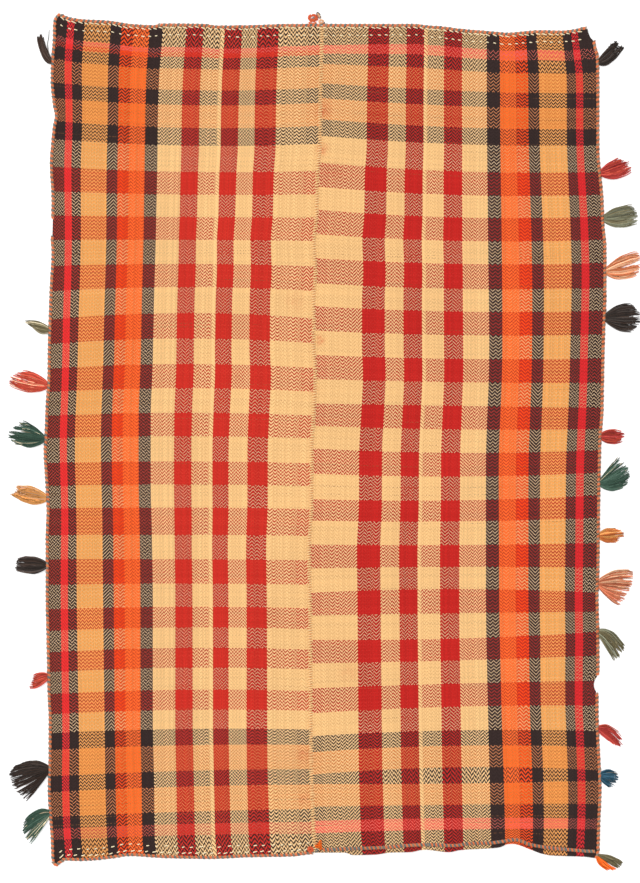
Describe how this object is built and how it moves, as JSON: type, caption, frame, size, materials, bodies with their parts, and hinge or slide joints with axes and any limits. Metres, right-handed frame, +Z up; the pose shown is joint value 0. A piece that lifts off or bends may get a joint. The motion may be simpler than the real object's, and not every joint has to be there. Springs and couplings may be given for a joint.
{
  "type": "flat-woven rug",
  "caption": "Flat-woven wool rug of two striped twill panels sewn along a middle seam, with an overcast edge and wool tassels down both long sides.",
  "frame": {"origin": "middle of the rug's bounding box, on the surface that the rug lies on", "axes": "+Y up the rug's length, as in the picture, +X across it, +Z up from the surface"},
  "size_m": [1.5152, 2.0551, 0.0095],
  "materials": {
    "panel_left": "worn wool twill, matt",
    "panel_right": "worn wool twill, matt",
    "edging_left_lower": "overcast wool yarn, matt",
    "edging_left_upper": "overcast wool yarn, matt",
    "edging_right_upper": "overcast wool yarn, matt",
    "edging_right_lower": "overcast wool yarn, matt",
    "edging_top_left": "overcast wool yarn, matt",
    "edging_top_right": "overcast wool yarn, matt",
    "edging_bottom_left": "overcast wool yarn, matt",
    "edging_bottom_right": "overcast wool yarn, matt",
    "tassel_left_1": "loose wool yarn, matt",
    "tassel_left_2": "loose wool yarn, matt",
    "tassel_left_3": "loose wool yarn, matt",
    "tassel_left_4": "loose wool yarn, matt",
    "tassel_left_5": "loose wool yarn, matt",
    "tassel_left_6": "loose wool yarn, matt",
    "tassel_left_7": "loose wool yarn, matt",
    "tassel_left_8": "loose wool yarn, matt",
    "tassel_left_9": "loose wool yarn, matt",
    "tassel_right_1": "loose wool yarn, matt",
    "tassel_right_2": "loose wool yarn, matt",
    "tassel_right_3": "loose wool yarn, matt",
    "tassel_right_4": "loose wool yarn, matt",
    "tassel_right_5": "loose wool yarn, matt",
    "tassel_right_6": "loose wool yarn, matt",
    "tassel_right_7": "loose wool yarn, matt",
    "tassel_right_8": "loose wool yarn, matt",
    "tassel_right_9": "loose wool yarn, matt",
    "tassel_right_10": "loose wool yarn, matt",
    "tassel_right_11": "loose wool yarn, matt",
    "tassel_right_12": "loose wool yarn, matt",
    "tassel_right_13": "loose wool yarn, matt",
    "tuft_top": "loose wool yarn, matt",
    "tuft_bottom": "loose wool yarn, matt"
  },
  "bodies": {
    "root": {"panel_left": "panel_left", "panel_right": "panel_right", "edging_left_lower": "edging_left_lower", "edging_left_upper": "edging_left_upper", "edging_right_upper": "edging_right_upper", "edging_right_lower": "edging_right_lower", "edging_top_left": "edging_top_left", "edging_top_right": "edging_top_right", "edging_bottom_left": "edging_bottom_left", "edging_bottom_right": "edging_bottom_right", "tassel_left_1": "tassel_left_1", "tassel_left_2": "tassel_left_2", "tassel_left_3": "tassel_left_3", "tassel_left_4": "tassel_left_4", "tassel_left_5": "tassel_left_5", "tassel_left_6": "tassel_left_6", "tassel_left_7": "tassel_left_7", "tassel_left_8": "tassel_left_8", "tassel_left_9": "tassel_left_9", "tassel_right_1": "tassel_right_1", "tassel_right_2": "tassel_right_2", "tassel_right_3": "tassel_right_3", "tassel_right_4": "tassel_right_4", "tassel_right_5": "tassel_right_5", "tassel_right_6": "tassel_right_6", "tassel_right_7": "tassel_right_7", "tassel_right_8": "tassel_right_8", "tassel_right_9": "tassel_right_9", "tassel_right_10": "tassel_right_10", "tassel_right_11": "tassel_right_11", "tassel_right_12": "tassel_right_12", "tassel_right_13": "tassel_right_13", "tuft_top": "tuft_top", "tuft_bottom": "tuft_bottom"}
  },
  "joints": []
}
